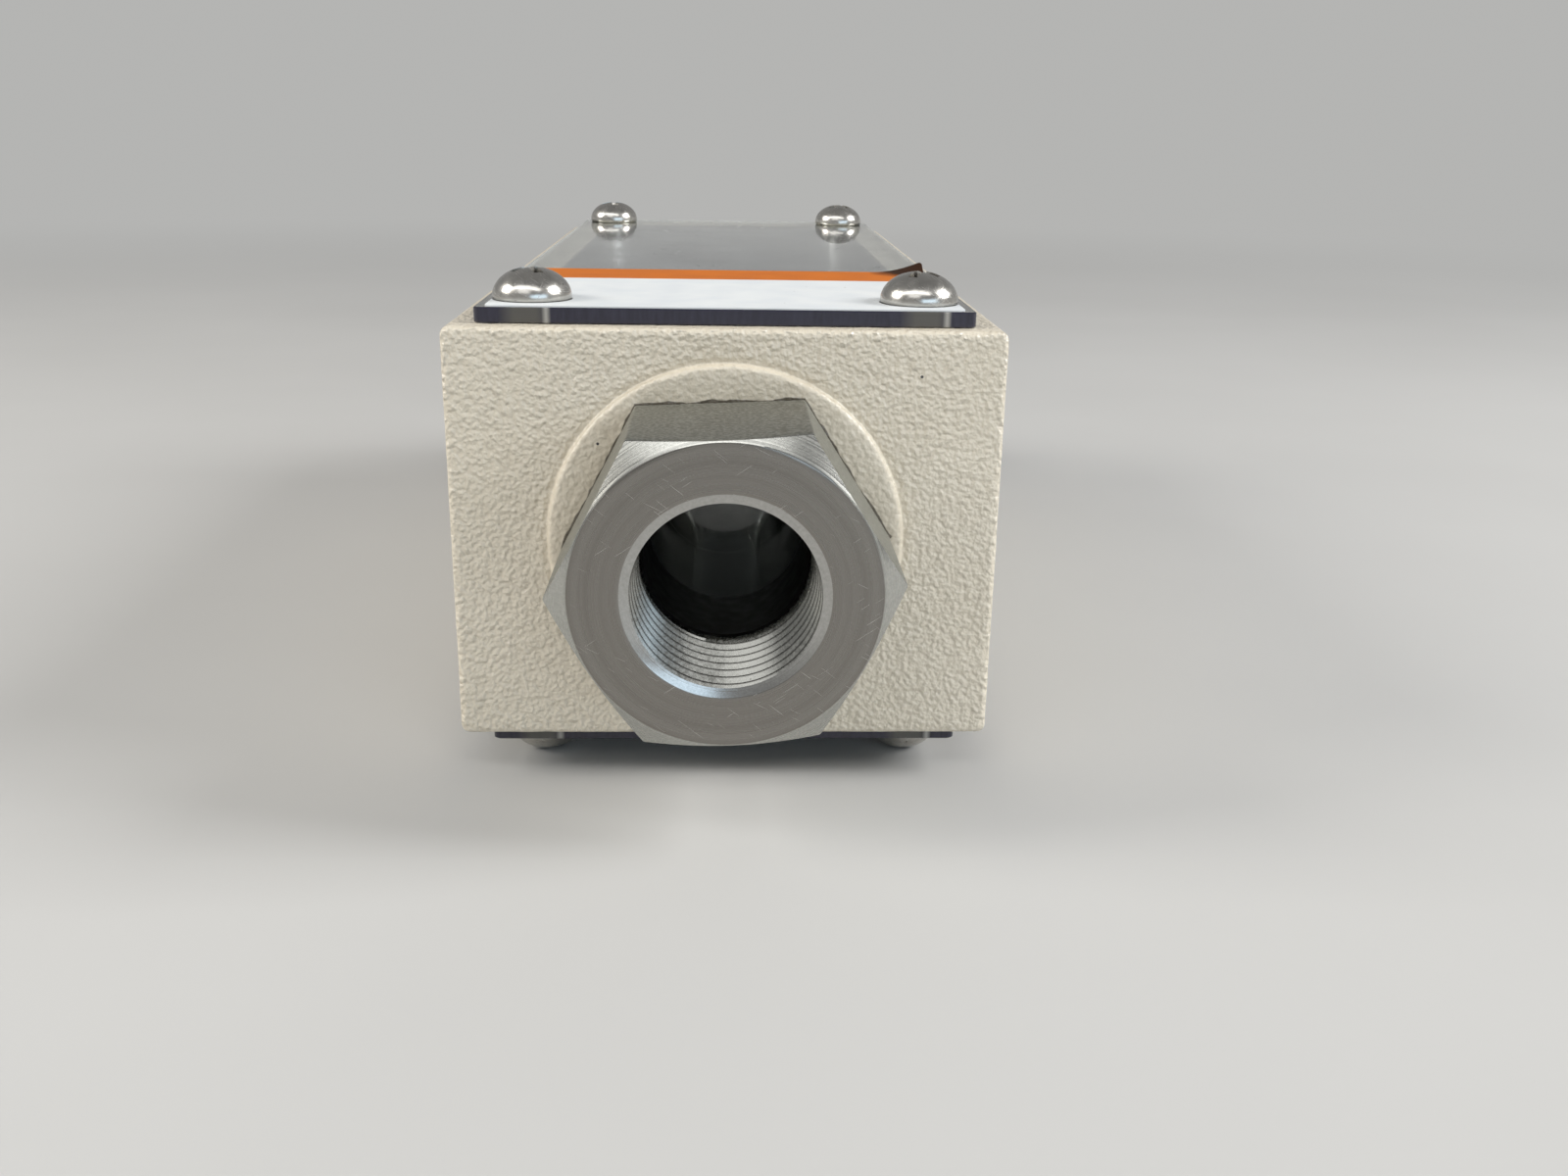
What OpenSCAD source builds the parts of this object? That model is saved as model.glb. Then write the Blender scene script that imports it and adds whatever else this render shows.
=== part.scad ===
// In-line tubular sight glass. A metal housing carries a glass tube between two hex end
// fittings, and clear shields cover the viewing openings above and below the tube.
// The flow axis is Y with the inlet at -Y, Z is up, and the origin is the middle of the
// flow axis. Lengths are in millimetres and angles in degrees.

/* [Housing] */
// Length of the housing along the flow axis
housing_l = 144; // [110:1:240]
// Width of the housing across the flow axis
housing_w = 61.5; // [60:0.5:76]
// Height of the housing between the two shield faces
housing_h = 47.25; // [44:0.25:64]
// Radius of the housing's outer edges
edge_r = 0.7; // [0.5:0.1:3]
// Thickness of each end wall
end_wall_t = 16; // [15.5:0.5:20]
// Thickness of each side wall
side_wall_t = 8.75; // [6:0.25:9]
// Corner radius of the viewing opening
opening_r = 4; // [1:0.5:8]
// Diameter of the raised boss that each fitting seats on
boss_d = 39.8; // [38:0.2:43]
// Height of the boss above the end face
boss_h = 0.9; // [0.4:0.1:2]
// Bevel on the boss's rim
boss_bevel = 0.5; // [0.1:0.1:0.9]

/* [End fittings] */
// Distance across the flats of the hex
hex_af = 31.75; // [31.75:0.25:33]
// Distance from the housing's end face to the outer face of the hex
hex_reach = 20.5; // [18:0.5:30]
// Width across the turned face inside the hex's chamfer
hex_face_d = 31.45; // [30:0.05:31.6]
// Length of the turned chamfer at the hex corners
hex_chamfer = 1.86; // [0.5:0.1:2.5]
// Turn of the inlet hex, counter-clockwise as seen from its port
inlet_turn = 2.45; // [0:0.5:60]
// Turn of the outlet hex, counter-clockwise as seen from its port
outlet_turn = 11; // [0:0.5:60]
// Outer diameter of the spigot that screws into the housing
spigot_d = 29.9; // [29.8:0.1:30.6]
// Mean diameter of the pipe thread's crests
port_d = 18.8; // [18:0.1:19.4]
// Depth of the pipe thread from the hex face
port_depth = 14.25; // [12:0.25:17]
// Diameter of the countersink at the mouth
mouth_d = 21.2; // [20:0.1:22]
// Diameter of the passage behind the thread
passage_d = 18; // [16:0.1:18]

/* [Glass tube and seals] */
// Outer diameter of the glass tube
tube_d = 25.4; // [25:0.1:25.4]
// Wall thickness of the glass tube
tube_wall = 2.38; // [1.8:0.1:2.6]
// Depth of the tube's end inside the housing's end face
tube_inset = 8.2; // [7.8:0.1:9]
// Thickness of the cushion between the tube's end and the fitting
cushion_t = 1; // [0.8:0.1:2]
// Thickness of the housing's lip behind each O-ring
lip_t = 2; // [1.5:0.5:3]
// Thickness of the washer between the O-ring and the lip
washer_t = 1; // [0.5:0.1:1.5]
// Diameter of the O-ring's section when it is squeezed
ring_section = 2.2; // [1.8:0.05:2.2]

/* [Shields and screws] */
// Thickness of each clear shield
shield_t = 1.7; // [1.5:0.05:4]
// Distance from the housing's end face to the shield's end
shield_end_gap = 2.5; // [1:0.05:3]
// Distance from the housing's side to the shield's edge
shield_side_gap = 3.35; // [2:0.05:4]
// Corner radius of the shields
shield_r = 0.8; // [0.2:0.1:2]
// Distance of the screws from the housing's end face
screw_inset = 9.4; // [7:0.05:10]
// Distance between the screws across the housing
screw_span = 43.6; // [42:0.1:48]
// Thread diameter of the screws
screw_d = 4.8; // [4:0.1:5]
// Length of a screw below its head
screw_l = 12.7; // [8:0.1:13]
// Diameter of a screw's head
head_d = 8.85; // [8:0.05:9.5]
// Height of a screw's head
head_h = 3.75; // [2.5:0.05:4]
// Turn of each screw's recess, in the order of the screws' numbers
recess_turns = [28, 62, 12, 47]; // [0:1:90]

/* [Label] */
// Length of the blank label along the flow axis
label_l = 39.9; // [20:0.1:60]
// Width of the blank label
label_w = 52.4; // [30:0.2:54]
// Thickness of the label
label_t = 0.2; // [0.1:0.05:0.4]
// Gap from the shield's end to the label
label_gap = 0.2; // [0.2:0.1:3]
// Corner radius of the label
label_r = 1; // [0.5:0.5:4]

/* [Hidden] */
$fn = 96;
eps = 0.5;

// Radial gaps between pieces; the thread gap stands for the play of a screwed joint.
thread_gap = 0.05;
ring_gap = 0.02;
washer_gap = 0.1;
seat_gap = 0.15;
lip_gap = 0.25;
shank_gap = 0.25;
head_gap = 0.15;

inlet = -1;
outlet = 1;
top = 1;
bottom = -1;

hex_corner_r = hex_af / 2 / cos(30);
hex_face_r = hex_face_d / 2;
chamfer_r = hex_corner_r + eps;
chamfer_l = hex_chamfer * (chamfer_r - hex_face_r) / (hex_corner_r - hex_face_r);
spigot_bore_r = spigot_d / 2 + thread_gap;
tube_r = tube_d / 2;
tube_bore_r = tube_r - tube_wall;
seat_r = tube_r + seat_gap;
lip_r = tube_r + lip_gap;
shoulder_z = -(tube_inset - cushion_t);
lip_z = lip_t - end_wall_t;
ring_r = tube_r + ring_gap + ring_section / 2;
ring_z = lip_z + washer_t + ring_gap + ring_section / 2;
nose_bevel = 1.3;
nose_z = ring_z + sqrt(2) * (ring_section / 2 + ring_gap) - (seat_r + nose_bevel - ring_r);

opening_l = housing_l - 2 * end_wall_t;
opening_w = housing_w - 2 * side_wall_t;
shield_l = housing_l - 2 * shield_end_gap;
shield_w = housing_w - 2 * shield_side_gap;
screw_x = screw_span / 2;
screw_y = housing_l / 2 - screw_inset;
screw_run_out = 1.5;
tapped_d = screw_d + 2 * thread_gap;
tapped_depth = screw_l - shield_t + screw_run_out;
clearance_d = screw_d + 2 * shank_gap;
head_rim = 0.5;
recess_w = 1.1;
recess_l = 4.7;
recess_depth = 1.8;

// Places its children on an end face: local z is outward along the flow axis, 0 at the face.
module at_end(side) {
    mirror([0, side == inlet ? 1 : 0, 0])
        translate([0, housing_l / 2, 0])
            rotate([-90, 0, 0])
                children();
}

// Places its children on a shield face of the housing: local z is outward, 0 at the face.
module on_face(face) {
    mirror([0, 0, face == bottom ? 1 : 0])
        translate([0, 0, housing_h / 2])
            children();
}

// Places its children at the four screw positions of a face, numbered as the screws are.
module at_screws() {
    for (y = [-screw_y, screw_y], x = [-screw_x, screw_x])
        translate([x, y, 0])
            children();
}

module rounded_rect(w, l, r) {
    square([w - 2 * r, l], center = true);
    square([w, l - 2 * r], center = true);
    for (x = [-1, 1], y = [-1, 1])
        translate([x * (w / 2 - r), y * (l / 2 - r)])
            circle(r = r);
}

module rounded_block(w, l, h, r) {
    intersection() {
        linear_extrude(height = h, center = true) rounded_rect(w, l, r);
        rotate([90, 0, 0]) linear_extrude(height = l, center = true) rounded_rect(w, h, r);
        rotate([90, 0, 90]) linear_extrude(height = w, center = true) rounded_rect(l, h, r);
    }
}

module washer(r_in, r_out, t) {
    difference() {
        cylinder(r = r_out, h = t);
        translate([0, 0, -eps]) cylinder(r = r_in, h = t + 2 * eps);
    }
}

module boss() {
    translate([0, 0, -eps]) cylinder(d = boss_d, h = boss_h - boss_bevel + eps);
    translate([0, 0, boss_h - boss_bevel])
        cylinder(d1 = boss_d, d2 = boss_d - 2 * boss_bevel, h = boss_bevel);
}

module housing() {
    color("#e8e2cf")
    difference() {
        union() {
            rounded_block(housing_w, housing_l, housing_h, edge_r);
            for (side = [inlet, outlet]) at_end(side) boss();
        }
        linear_extrude(height = housing_h + 2 * eps, center = true)
            rounded_rect(opening_w, opening_l, opening_r);
        for (side = [inlet, outlet]) at_end(side) {
            translate([0, 0, lip_z]) cylinder(r = spigot_bore_r, h = boss_h - lip_z + eps);
            translate([0, 0, -end_wall_t - eps]) cylinder(r = lip_r, h = lip_t + 2 * eps);
        }
        for (face = [top, bottom]) on_face(face) at_screws()
            translate([0, 0, -tapped_depth]) cylinder(d = tapped_d, h = tapped_depth + eps);
    }
}

module glass_tube() {
    color("#cfe6e6", 0.4)
    translate([0, housing_l / 2 - tube_inset, 0])
        rotate([90, 0, 0])
            washer(tube_bore_r, tube_r, housing_l - 2 * tube_inset);
}

// Hex bar with its outer corners turned off to a cone.
module hex_head(turn) {
    hex_l = hex_reach - boss_h;
    intersection() {
        translate([0, 0, boss_h]) rotate([0, 0, turn]) cylinder(r = hex_corner_r, h = hex_l, $fn = 6);
        union() {
            cylinder(r = chamfer_r, h = hex_reach - chamfer_l);
            translate([0, 0, hex_reach - chamfer_l])
                cylinder(r1 = chamfer_r, r2 = hex_face_r, h = chamfer_l);
        }
    }
}

module end_fitting(side, turn) {
    mouth_bevel = (mouth_d - port_d) / 2;
    color("#b9b8b4")
    at_end(side)
    difference() {
        union() {
            hex_head(side * turn);
            translate([0, 0, nose_z]) cylinder(d = spigot_d, h = boss_h - nose_z + eps);
        }
        translate([0, 0, hex_reach - mouth_bevel])
            cylinder(d1 = port_d, d2 = mouth_d, h = mouth_bevel);
        translate([0, 0, hex_reach]) cylinder(d = mouth_d, h = eps);
        translate([0, 0, hex_reach - port_depth]) cylinder(d = port_d, h = port_depth);
        translate([0, 0, shoulder_z - eps]) cylinder(d = passage_d, h = hex_reach - shoulder_z);
        translate([0, 0, nose_z - eps]) cylinder(r = seat_r, h = shoulder_z - nose_z + eps);
        translate([0, 0, nose_z])
            cylinder(r1 = seat_r + nose_bevel, r2 = seat_r, h = nose_bevel);
    }
}

module cushion(side) {
    color("#f2f0ea")
    at_end(side)
        translate([0, 0, -tube_inset]) washer(tube_bore_r, tube_r, cushion_t);
}

module tube_ring(side) {
    color("#1c1c1e")
    at_end(side)
        translate([0, 0, ring_z]) rotate_extrude() translate([ring_r, 0]) circle(d = ring_section, $fn = 48);
}

module ring_washer(side) {
    color("#f2f0ea")
    at_end(side)
        translate([0, 0, lip_z]) washer(seat_r, spigot_bore_r - washer_gap, washer_t);
}

module shield(face) {
    color("#9fb0c4", 0.4)
    on_face(face)
    linear_extrude(height = shield_t)
    difference() {
        rounded_rect(shield_w, shield_l, shield_r);
        at_screws() circle(d = clearance_d);
    }
}

// Blank decal stuck to the inlet end of the top shield, cut away round the screw heads.
module label() {
    color("#eef0f2")
    on_face(top)
    translate([0, 0, shield_t])
    linear_extrude(height = label_t)
    difference() {
        translate([0, (label_l - shield_l) / 2 + label_gap]) rounded_rect(label_w, label_l, label_r);
        at_screws() circle(d = head_d + 2 * head_gap);
    }
}

// Round-head screw with its head standing on z = 0 and its shank below.
module round_head_screw(turn) {
    dome = [for (a = [0:10:90]) [head_d / 2 * cos(a), head_rim + (head_h - head_rim) * sin(a)]];
    tip = 0.8;
    difference() {
        union() {
            rotate_extrude() polygon(concat([[0, 0], [head_d / 2, 0]], dome));
            translate([0, 0, tip - screw_l]) cylinder(d = screw_d, h = screw_l - tip + head_rim);
            translate([0, 0, -screw_l]) cylinder(d1 = screw_d - 2 * tip, d2 = screw_d, h = tip);
        }
        for (a = [0, 90]) rotate([0, 0, turn + a])
            translate([-recess_l / 2, -recess_w / 2, head_h - recess_depth])
                cube([recess_l, recess_w, recess_depth + eps]);
    }
}

// Screw number 1 or 2 is at the inlet end and 3 or 4 at the outlet end, odd numbers at -X.
module shield_screw(face, number) {
    x = number % 2 == 1 ? -screw_x : screw_x;
    y = number > 2 ? screw_y : -screw_y;
    color("#c9c8c4")
    on_face(face)
        translate([x, y, shield_t]) round_head_screw(recess_turns[number - 1]);
}

housing();
glass_tube();
end_fitting(inlet, inlet_turn);  // inlet_fitting
end_fitting(outlet, outlet_turn);  // outlet_fitting
cushion(inlet);  // inlet_cushion
cushion(outlet);  // outlet_cushion
tube_ring(inlet);  // inlet_tube_ring
tube_ring(outlet);  // outlet_tube_ring
ring_washer(inlet);  // inlet_ring_washer
ring_washer(outlet);  // outlet_ring_washer
shield(top);  // top_shield
shield(bottom);  // bottom_shield
label();
shield_screw(top, 1);  // top_screw_1
shield_screw(top, 2);  // top_screw_2
shield_screw(top, 3);  // top_screw_3
shield_screw(top, 4);  // top_screw_4
shield_screw(bottom, 1);  // bottom_screw_1
shield_screw(bottom, 2);  // bottom_screw_2
shield_screw(bottom, 3);  // bottom_screw_3
shield_screw(bottom, 4);  // bottom_screw_4
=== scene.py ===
import math

import bmesh
import bpy
import numpy as np
from mathutils import Matrix, Vector


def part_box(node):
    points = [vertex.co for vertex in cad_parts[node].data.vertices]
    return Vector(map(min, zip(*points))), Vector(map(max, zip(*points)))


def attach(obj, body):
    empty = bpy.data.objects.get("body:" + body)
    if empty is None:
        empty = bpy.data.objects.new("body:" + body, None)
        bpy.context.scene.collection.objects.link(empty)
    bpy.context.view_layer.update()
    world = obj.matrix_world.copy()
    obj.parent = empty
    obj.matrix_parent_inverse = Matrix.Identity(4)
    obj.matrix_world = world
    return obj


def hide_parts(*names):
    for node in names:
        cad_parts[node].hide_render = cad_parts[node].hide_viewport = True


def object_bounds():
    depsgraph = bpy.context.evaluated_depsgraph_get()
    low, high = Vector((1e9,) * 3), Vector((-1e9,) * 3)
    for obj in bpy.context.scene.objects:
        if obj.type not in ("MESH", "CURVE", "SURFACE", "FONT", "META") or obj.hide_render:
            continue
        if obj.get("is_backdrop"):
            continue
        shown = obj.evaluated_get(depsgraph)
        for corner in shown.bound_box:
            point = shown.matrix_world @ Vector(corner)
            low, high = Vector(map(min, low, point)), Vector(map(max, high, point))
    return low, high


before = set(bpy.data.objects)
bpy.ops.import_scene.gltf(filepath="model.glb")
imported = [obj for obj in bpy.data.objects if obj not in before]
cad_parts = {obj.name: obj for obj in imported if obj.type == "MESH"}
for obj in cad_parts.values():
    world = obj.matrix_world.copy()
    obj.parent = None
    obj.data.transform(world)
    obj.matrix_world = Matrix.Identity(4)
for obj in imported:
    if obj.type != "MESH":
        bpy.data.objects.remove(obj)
cad_low, cad_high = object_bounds()


# ---- Camera ----
# It stands a hand's length in front of the inlet port, a little above the top shield,
# and looks down along the flow axis and slightly to the right.
mm = 0.001
scene = bpy.context.scene
housing_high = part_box("housing")[1]
boss_h = 0.9 * mm
end_face_y = housing_high.y - boss_h
camera_right = -0.16 * mm
camera_out = 156 * mm
camera_up = 45.5 * mm


def put_in_scene(name, data):
    thing = bpy.data.objects.new(name, data)
    scene.collection.objects.link(thing)
    return thing


camera_place = Matrix.Translation((camera_right, -end_face_y - camera_out, camera_up))
camera_turn = Matrix.Rotation(math.radians(-2.49), 4, "Z")
camera_tilt = Matrix.Rotation(math.radians(90 - 18.11), 4, "X")
camera_roll = Matrix.Rotation(math.radians(0.97), 4, "Z")
camera_data = bpy.data.cameras.new("camera")
camera_data.sensor_width = 36
camera_data.lens = 33.2
camera_data.clip_start = 0.01
camera = put_in_scene("camera", camera_data)
camera.matrix_world = camera_place @ camera_turn @ camera_tilt @ camera_roll
scene.camera = camera


# ---- Studio ----
# A pale table that runs out into a pale room, darker overhead. The main lamp stands on the
# right, a weaker one on the left, and weak wide lamps in front show in the metal. The room
# that metal and glass show is a little brighter than the one that lights the object.
horizon = (0.46, 0.46, 0.45)


def place(tree, kind, inputs=None, **settings):
    """Adds a node to a tree, links or sets its inputs, and returns it."""
    node = tree.nodes.new(kind)
    for name, value in settings.items():
        setattr(node, name, value)
    for key, value in (inputs or {}).items():
        if isinstance(value, bpy.types.NodeSocket):
            tree.links.new(value, node.inputs[key])
        else:
            node.inputs[key].default_value = value
    return node


def math_node(operation, first, second=0.0, clamp=False):
    """Arithmetic on two values, of which one at least is a socket."""
    tree = next(value for value in (first, second) if isinstance(value, bpy.types.NodeSocket)).id_data
    inputs = {0: first, 1: second}
    return place(tree, "ShaderNodeMath", inputs, operation=operation, use_clamp=clamp).outputs[0]


def plus(first, second):
    return math_node("ADD", first, second)


def vector_node(operation, vector, other=(0, 0, 0)):
    """Arithmetic on a vector socket; the output is a plain value where the result is one."""
    inputs = {0: vector, "Scale" if operation == "SCALE" else 1: other}
    node = place(vector.id_data, "ShaderNodeVectorMath", inputs, operation=operation)
    return node.outputs["Value" if operation in ("LENGTH", "DISTANCE", "DOT_PRODUCT") else "Vector"]


def parts_of(vector):
    return place(vector.id_data, "ShaderNodeSeparateXYZ", {0: vector}).outputs


def spread(value, low=0.0, high=1.0, from_low=0.3, from_high=0.7, **settings):
    """Maps a value to a range; the range it comes from is by default a noise texture's."""
    inputs = {0: value, 1: from_low, 2: from_high, 3: low, 4: high}
    return place(value.id_data, "ShaderNodeMapRange", inputs, **settings).outputs[0]


def noise(vector, size, detail=2.0, **inputs):
    """A noise texture whose features are about size across."""
    inputs = {"Vector": vector, "Scale": 1 / size, "Detail": detail, **inputs}
    return place(vector.id_data, "ShaderNodeTexNoise", inputs).outputs["Fac"]


def blend(factor, first, second):
    node = place(factor.id_data, "ShaderNodeMix", {0: factor}, data_type="RGBA")
    for socket, value in ((node.inputs[6], first), (node.inputs[7], second)):
        if isinstance(value, bpy.types.NodeSocket):
            node.id_data.links.new(value, socket)
        else:
            socket.default_value = (*value, 1)
    return node.outputs[2]


def new_material(name, **constants):
    """A material, its Principled shader with some constants set, and its coordinates."""
    material = bpy.data.materials.new(name)
    material.use_nodes = True
    shader = material.node_tree.nodes["Principled BSDF"]
    for key, value in constants.items():
        shader.inputs[key.replace("_", " ")].default_value = value
    return material, shader, place(material.node_tree, "ShaderNodeTexCoord").outputs["Object"]


def feed(shader, **sockets):
    """Links sockets into a shader's inputs, which are named with _ for a space."""
    for key, socket in sockets.items():
        shader.id_data.links.new(socket, shader.inputs[key.replace("_", " ")])


def mix_shaders(factor, first, second):
    """Blends two shader nodes and sends the result to the surface."""
    tree = factor.id_data
    both = place(tree, "ShaderNodeMixShader", {0: factor, 1: first.outputs[0], 2: second.outputs[0]})
    output = next(node for node in tree.nodes if node.name.endswith("Output"))
    tree.links.new(both.outputs[0], output.inputs["Surface"])


def light_room():
    world = bpy.data.worlds.new("room")
    world.use_nodes = True
    tree = world.node_tree
    tree.nodes.remove(tree.nodes["Background"])
    direction = place(tree, "ShaderNodeTexCoord").outputs["Generated"]
    ramp = place(tree, "ShaderNodeValToRGB", {0: parts_of(direction)["Z"]})
    stops = ramp.color_ramp.elements
    stops.new(0.5)
    stops.new(0.5)
    wall, ceiling = (0.33, 0.33, 0.33), (0.24, 0.24, 0.24)
    for stop, height, colour in zip(stops, (0.0, 0.075, 0.13, 1.0), (horizon, horizon, wall, ceiling)):
        stop.position = height
        stop.color = (*colour, 1)
    seen = place(tree, "ShaderNodeBackground", {0: ramp.outputs["Color"]})
    fill = place(tree, "ShaderNodeBackground", {0: (*ceiling, 1)})
    ray = place(tree, "ShaderNodeLightPath").outputs
    direct = plus(plus(ray["Is Camera Ray"], ray["Is Glossy Ray"]), ray["Is Transmission Ray"])
    mix_shaders(direct, fill, seen)
    scene.world = world


def soft_lamp(name, at, size, watts, colour=(1, 1, 1)):
    data = bpy.data.lights.new(name, "AREA")
    data.shape = "RECTANGLE"
    data.size, data.size_y = size
    data.energy = watts
    data.color = colour
    lamp = put_in_scene(name, data)
    lamp.location = at
    lamp.rotation_euler = (-Vector(at)).to_track_quat("-Z", "Y").to_euler()


def table_top():
    material, shader, spot = new_material("pale_table", Roughness=0.6)
    grain = spread(noise(spot, 1 / 9, 3.0))
    feed(shader, Base_Color=blend(grain, (0.55, 0.545, 0.53), (0.58, 0.575, 0.56)))
    far = spread(vector_node("LENGTH", spot), 0.0, 1.0, 0.20, 0.9, interpolation_type="SMOOTHSTEP")
    mix_shaders(far, shader, place(material.node_tree, "ShaderNodeEmission", {0: (*horizon, 1)}))
    mesh = bpy.data.meshes.new("table")
    shape = bmesh.new()
    bmesh.ops.create_circle(shape, cap_ends=True, segments=96, radius=4.0)
    bmesh.ops.translate(shape, verts=shape.verts, vec=(0, 0, cad_low.z))
    shape.to_mesh(mesh)
    mesh.materials.append(material)
    table = put_in_scene("table", mesh)
    table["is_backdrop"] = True


scene.view_settings.view_transform = "Standard"
light_room()
table_top()
soft_lamp("lamp_main", (0.92, -0.16, 0.58), (0.45, 0.45), 9.8)
soft_lamp("lamp_above", (-0.15, -0.57, 0.79), (1.30, 0.24), 2.6)
soft_lamp("lamp_left", (-0.27, -0.74, 0.56), (0.50, 0.24), 0.5)
soft_lamp("lamp_warm", (-0.86, -0.16, 0.52), (0.40, 0.40), 5.8, (1.0, 0.97, 0.92))
soft_lamp("lamp_cool", (0.42, -0.90, 0.20), (0.80, 0.28), 1.35, (0.62, 0.81, 1.0))


# ---- Housing ----
# A metal block bored through from end to end and cut open above and below, with a low
# round boss on each end. Off-white powder coat covers it and softens every edge.
half_w = housing_high.x
half_h = housing_high.z
boss_r = 19.9 * mm
long_edge_r = 1.05 * mm
end_edge_r = 0.7 * mm
corner_steps = 6
across_steps = 88
upright_steps = 68
quadrants = ((1, 1), (-1, 1), (-1, -1), (1, -1))


def arc(centre, radius, start, stop, steps):
    """Points along an arc, both ends included, between two angles in degrees."""
    turns = [math.radians(start + (stop - start) * step / steps) for step in range(steps + 1)]
    return [(centre[0] + radius * math.cos(turn), centre[1] + radius * math.sin(turn)) for turn in turns]


def housing_outline(inset):
    """Cross-section of the housing, drawn in from its faces by inset."""
    r = max(long_edge_r - inset, 0.25 * mm)
    centres = [(x * (half_w - inset - r), z * (half_h - inset - r)) for x, z in quadrants]
    corners = [arc(centres[i], r, 90 * i, 90 * (i + 1), corner_steps) for i in range(4)]
    points = []
    for i, steps in enumerate((across_steps, upright_steps) * 2):
        start, end = Vector(corners[i][-1]), Vector(corners[(i + 1) % 4][0])
        points += corners[i]
        points += [start.lerp(end, step / steps) for step in range(1, steps)]
    return np.array(points)


def ring_at(outline, y):
    """A closed ring of points from an outline in x and z."""
    return np.column_stack((outline[:, 0], np.full(len(outline), y), outline[:, 1]))


def skin(shape, rings, joined=False, capped=True, finishes=None):
    """Covers rings of equal length with faces, joined end to end, capped or left open."""
    rows = [[shape.verts.new(point) for point in ring] for ring in rings]
    count = len(rows[0])
    pairs = len(rows) if joined else len(rows) - 1
    for i in range(pairs):
        near, far = rows[i], rows[(i + 1) % len(rows)]
        for j in range(count):
            k = (j + 1) % count
            face = shape.faces.new((near[j], near[k], far[k], far[j]))
            if finishes:
                face.material_index = finishes[i]
    if capped and not joined:
        shape.faces.new(rows[0])
        shape.faces.new(rows[-1])


def new_piece(name, shape, *materials):
    """Closes a bmesh into a named object whose faces point outwards."""
    bmesh.ops.recalc_face_normals(shape, faces=shape.faces)
    mesh = bpy.data.meshes.new(name)
    shape.to_mesh(mesh)
    shape.free()
    for material in materials:
        mesh.materials.append(material)
    smooth(mesh, 35)
    return put_in_scene(name, mesh)


def smooth(mesh, sharp):
    """Rounds the shading, and keeps edges above the angle sharp."""
    mesh.shade_smooth()
    mesh.set_sharp_from_angle(angle=math.radians(sharp))


def settle(piece, modifier):
    """Turns a piece with one modifier into a plain mesh."""
    view = bpy.context.evaluated_depsgraph_get()
    mesh = bpy.data.meshes.new_from_object(piece.evaluated_get(view))
    piece.modifiers.remove(modifier)
    old = piece.data
    piece.data = mesh
    mesh.name = piece.name
    bpy.data.meshes.remove(old)


def cut(piece, cutter, operation="DIFFERENCE"):
    """Takes the cutter's shape out of a piece; the cut faces keep the cutter's material."""
    modifier = piece.modifiers.new("cut", "BOOLEAN")
    modifier.operation = operation
    modifier.solver = "MANIFOLD"
    modifier.material_mode = "TRANSFER"
    modifier.object = cutter
    settle(piece, modifier)
    bpy.data.objects.remove(cutter)


def grow(piece, tree, **values):
    """Runs a geometry tree on a piece, with its named inputs, and keeps the result."""
    modifier = piece.modifiers.new(tree.name, "NODES")
    modifier.node_group = tree
    for item in tree.interface.items_tree:
        key = item.name.lower().replace(" ", "_")
        if item.in_out == "INPUT" and key in values:
            modifier[item.identifier] = values[key]
    settle(piece, modifier)


def new_tree(name, kind, inputs, output):
    """An empty node group with named inputs and one output, each with its socket type."""
    tree = bpy.data.node_groups.new(name, kind)
    for direction, sockets in (("INPUT", inputs), ("OUTPUT", output)):
        for label, socket in sockets.items():
            tree.interface.new_socket(label, in_out=direction, socket_type="NodeSocket" + socket)
    return tree, place(tree, "NodeGroupInput").outputs, place(tree, "NodeGroupOutput")


def geometry_tree(name, *numbers, **sockets):
    """A tree that changes a shape, with some plain numbers and other sockets as inputs."""
    inputs = {"Geometry": "Geometry", **dict.fromkeys(numbers, "Float"), **sockets, "Finish": "Material"}
    return new_tree(name, "GeometryNodeTree", inputs, {"Geometry": "Geometry"})


def mask_tree(name, *numbers):
    """A shader group that puts out a mask, with a vector and some plain numbers as inputs."""
    inputs = {"Vector": "Vector", **dict.fromkeys(numbers, "Float")}
    return new_tree(name, "ShaderNodeTree", inputs, {"Mask": "Float"})


def times(first, second):
    return math_node("MULTIPLY", first, second)


def minus(first, second):
    return math_node("SUBTRACT", first, second)


def set_position(tree, geometry, offset):
    return place(tree, "GeometryNodeSetPosition", {"Geometry": geometry, "Offset": offset}).outputs[0]


def close_tree(tree, end, geometry, material, selection=True):
    """Ends a geometry tree in Realize Instances and Set Material."""
    real = place(tree, "GeometryNodeRealizeInstances", {0: geometry})
    inputs = {0: real.outputs[0], "Selection": selection, "Material": material}
    done = place(tree, "GeometryNodeSetMaterial", inputs)
    tree.links.new(done.outputs[0], end.inputs[0])


def paint_relief():
    """Presses the lumps of thick powder coat into a surface, inwards only."""
    tree, given, end = geometry_tree("paint_relief", "Lump Size", "Lump Height", "Seed")
    spot = place(tree, "GeometryNodeInputPosition")
    scale = math_node("DIVIDE", 1.0, given["Lump Size"])
    lumps = place(
        tree, "ShaderNodeTexNoise",
        {"Vector": spot.outputs[0], "W": given["Seed"], "Scale": scale, "Detail": 1.0},
        noise_dimensions="4D",
    )
    inwards = times(times(lumps.outputs["Fac"], given["Lump Height"]), -1.0)
    normal = place(tree, "GeometryNodeInputNormal").outputs["Normal"]
    moved = set_position(tree, given["Geometry"], vector_node("SCALE", normal, inwards))
    close_tree(tree, end, moved, given["Finish"])
    return tree


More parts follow.
